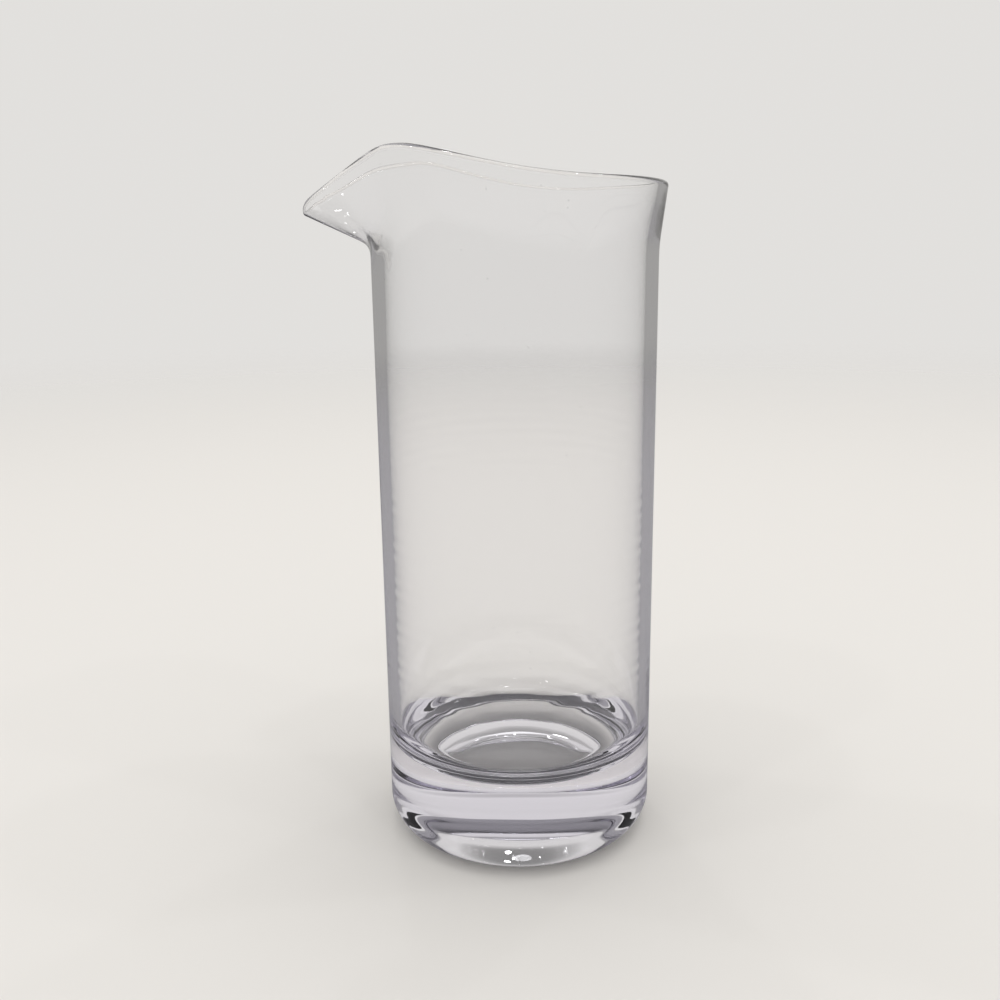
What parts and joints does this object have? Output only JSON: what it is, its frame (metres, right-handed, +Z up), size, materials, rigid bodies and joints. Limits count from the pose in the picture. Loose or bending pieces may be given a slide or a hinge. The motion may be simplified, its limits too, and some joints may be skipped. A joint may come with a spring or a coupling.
{
  "type": "cocktail pitcher",
  "caption": "Blown clear glass cocktail pitcher: straight heavy-based cylinder over a deep punt, flared fire-polished rim with raised shoulders and a pulled V-shaped pouring spout.",
  "frame": {"origin": "centre of the base, on the body's axis, in the plane that the foot ring stands on", "axes": "+Z up along the body's axis, spout towards -X"},
  "size_m": [0.1195, 0.1, 0.2351],
  "materials": {
    "clear_glass": "fire-polished clear glass, colourless with a faint cool cast where it is thick"
  },
  "bodies": {
    "root": {"pitcher": "clear_glass"}
  },
  "joints": []
}
